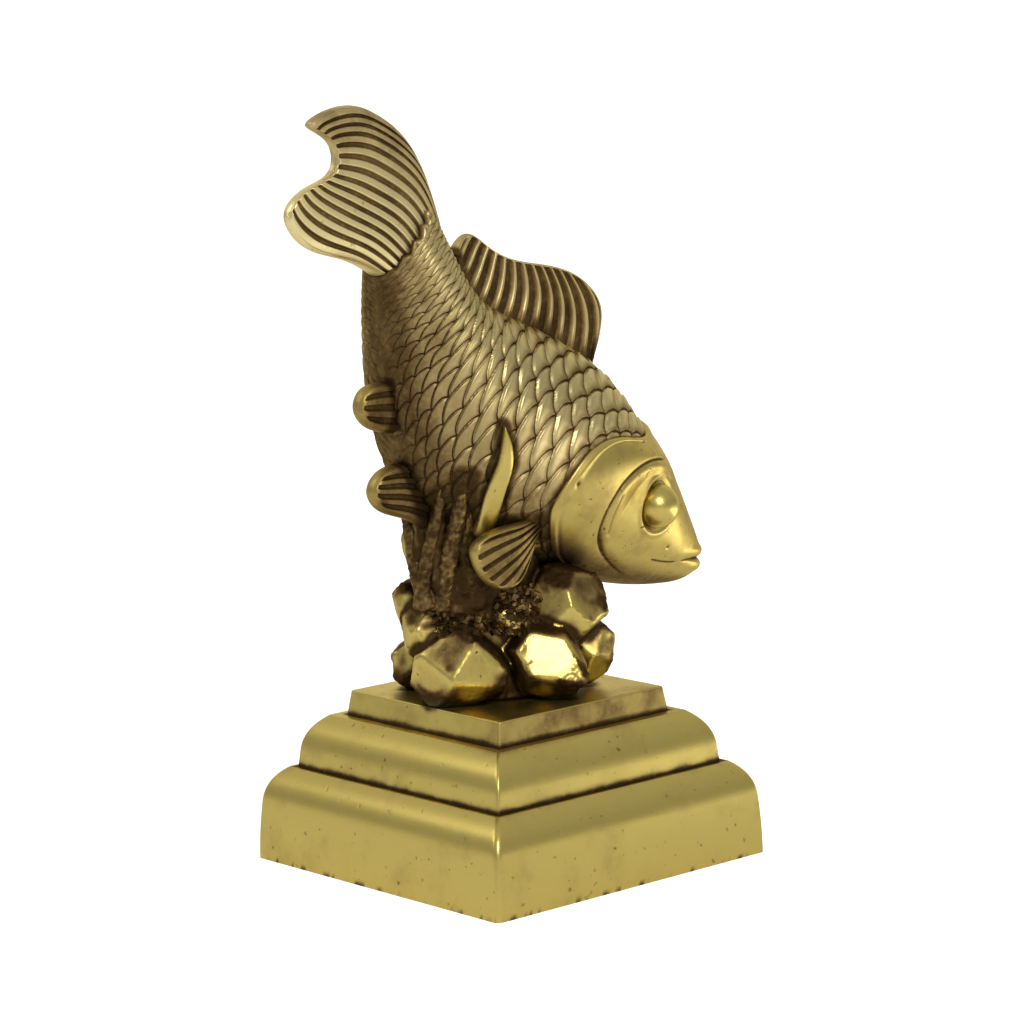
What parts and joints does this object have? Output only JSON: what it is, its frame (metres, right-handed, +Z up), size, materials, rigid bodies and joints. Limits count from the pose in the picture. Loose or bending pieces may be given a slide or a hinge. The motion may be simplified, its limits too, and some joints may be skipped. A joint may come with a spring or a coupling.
{
  "type": "fish figurine",
  "caption": "Cast brass carp diving head down over faceted rocks and seaweed, standing on a hollow square stepped plinth, as a shelf ornament.",
  "frame": {"origin": "middle of the plinth's underside, on the surface that it stands on", "axes": "+Z up, +X along the carp's heading, so that its right flank faces -Y"},
  "size_m": [0.1276, 0.09, 0.1891],
  "materials": {
    "carp_brass": "polished cast brass, dark brown patina between the scales",
    "fin_brass": "cast brass, bright rays over dark brown grooves",
    "weed_brass": "rough cast brass with dark patina",
    "rock_brass": "faceted brass, polished faces and dark rough hollows",
    "plinth_brass": "brushed brass with dark patina in the steps",
    "fixing_steel": "plain zinc-plated steel"
  },
  "bodies": {
    "root": {"fish_body_right": "carp_brass", "fish_body_left": "carp_brass", "tail_fin": "fin_brass", "dorsal_fin": "fin_brass", "anal_fin": "fin_brass", "pelvic_fin": "fin_brass", "pectoral_fin_right": "fin_brass", "pectoral_fin_left": "fin_brass", "seaweed_blade_right": "weed_brass", "seaweed_blade_left": "weed_brass", "seaweed_stem_right": "weed_brass", "seaweed_stem_left": "weed_brass", "rock_mount": "rock_brass", "plinth": "plinth_brass", "fixing_stud": "fixing_steel", "fixing_washer": "fixing_steel", "fixing_nut": "fixing_steel"}
  },
  "joints": []
}
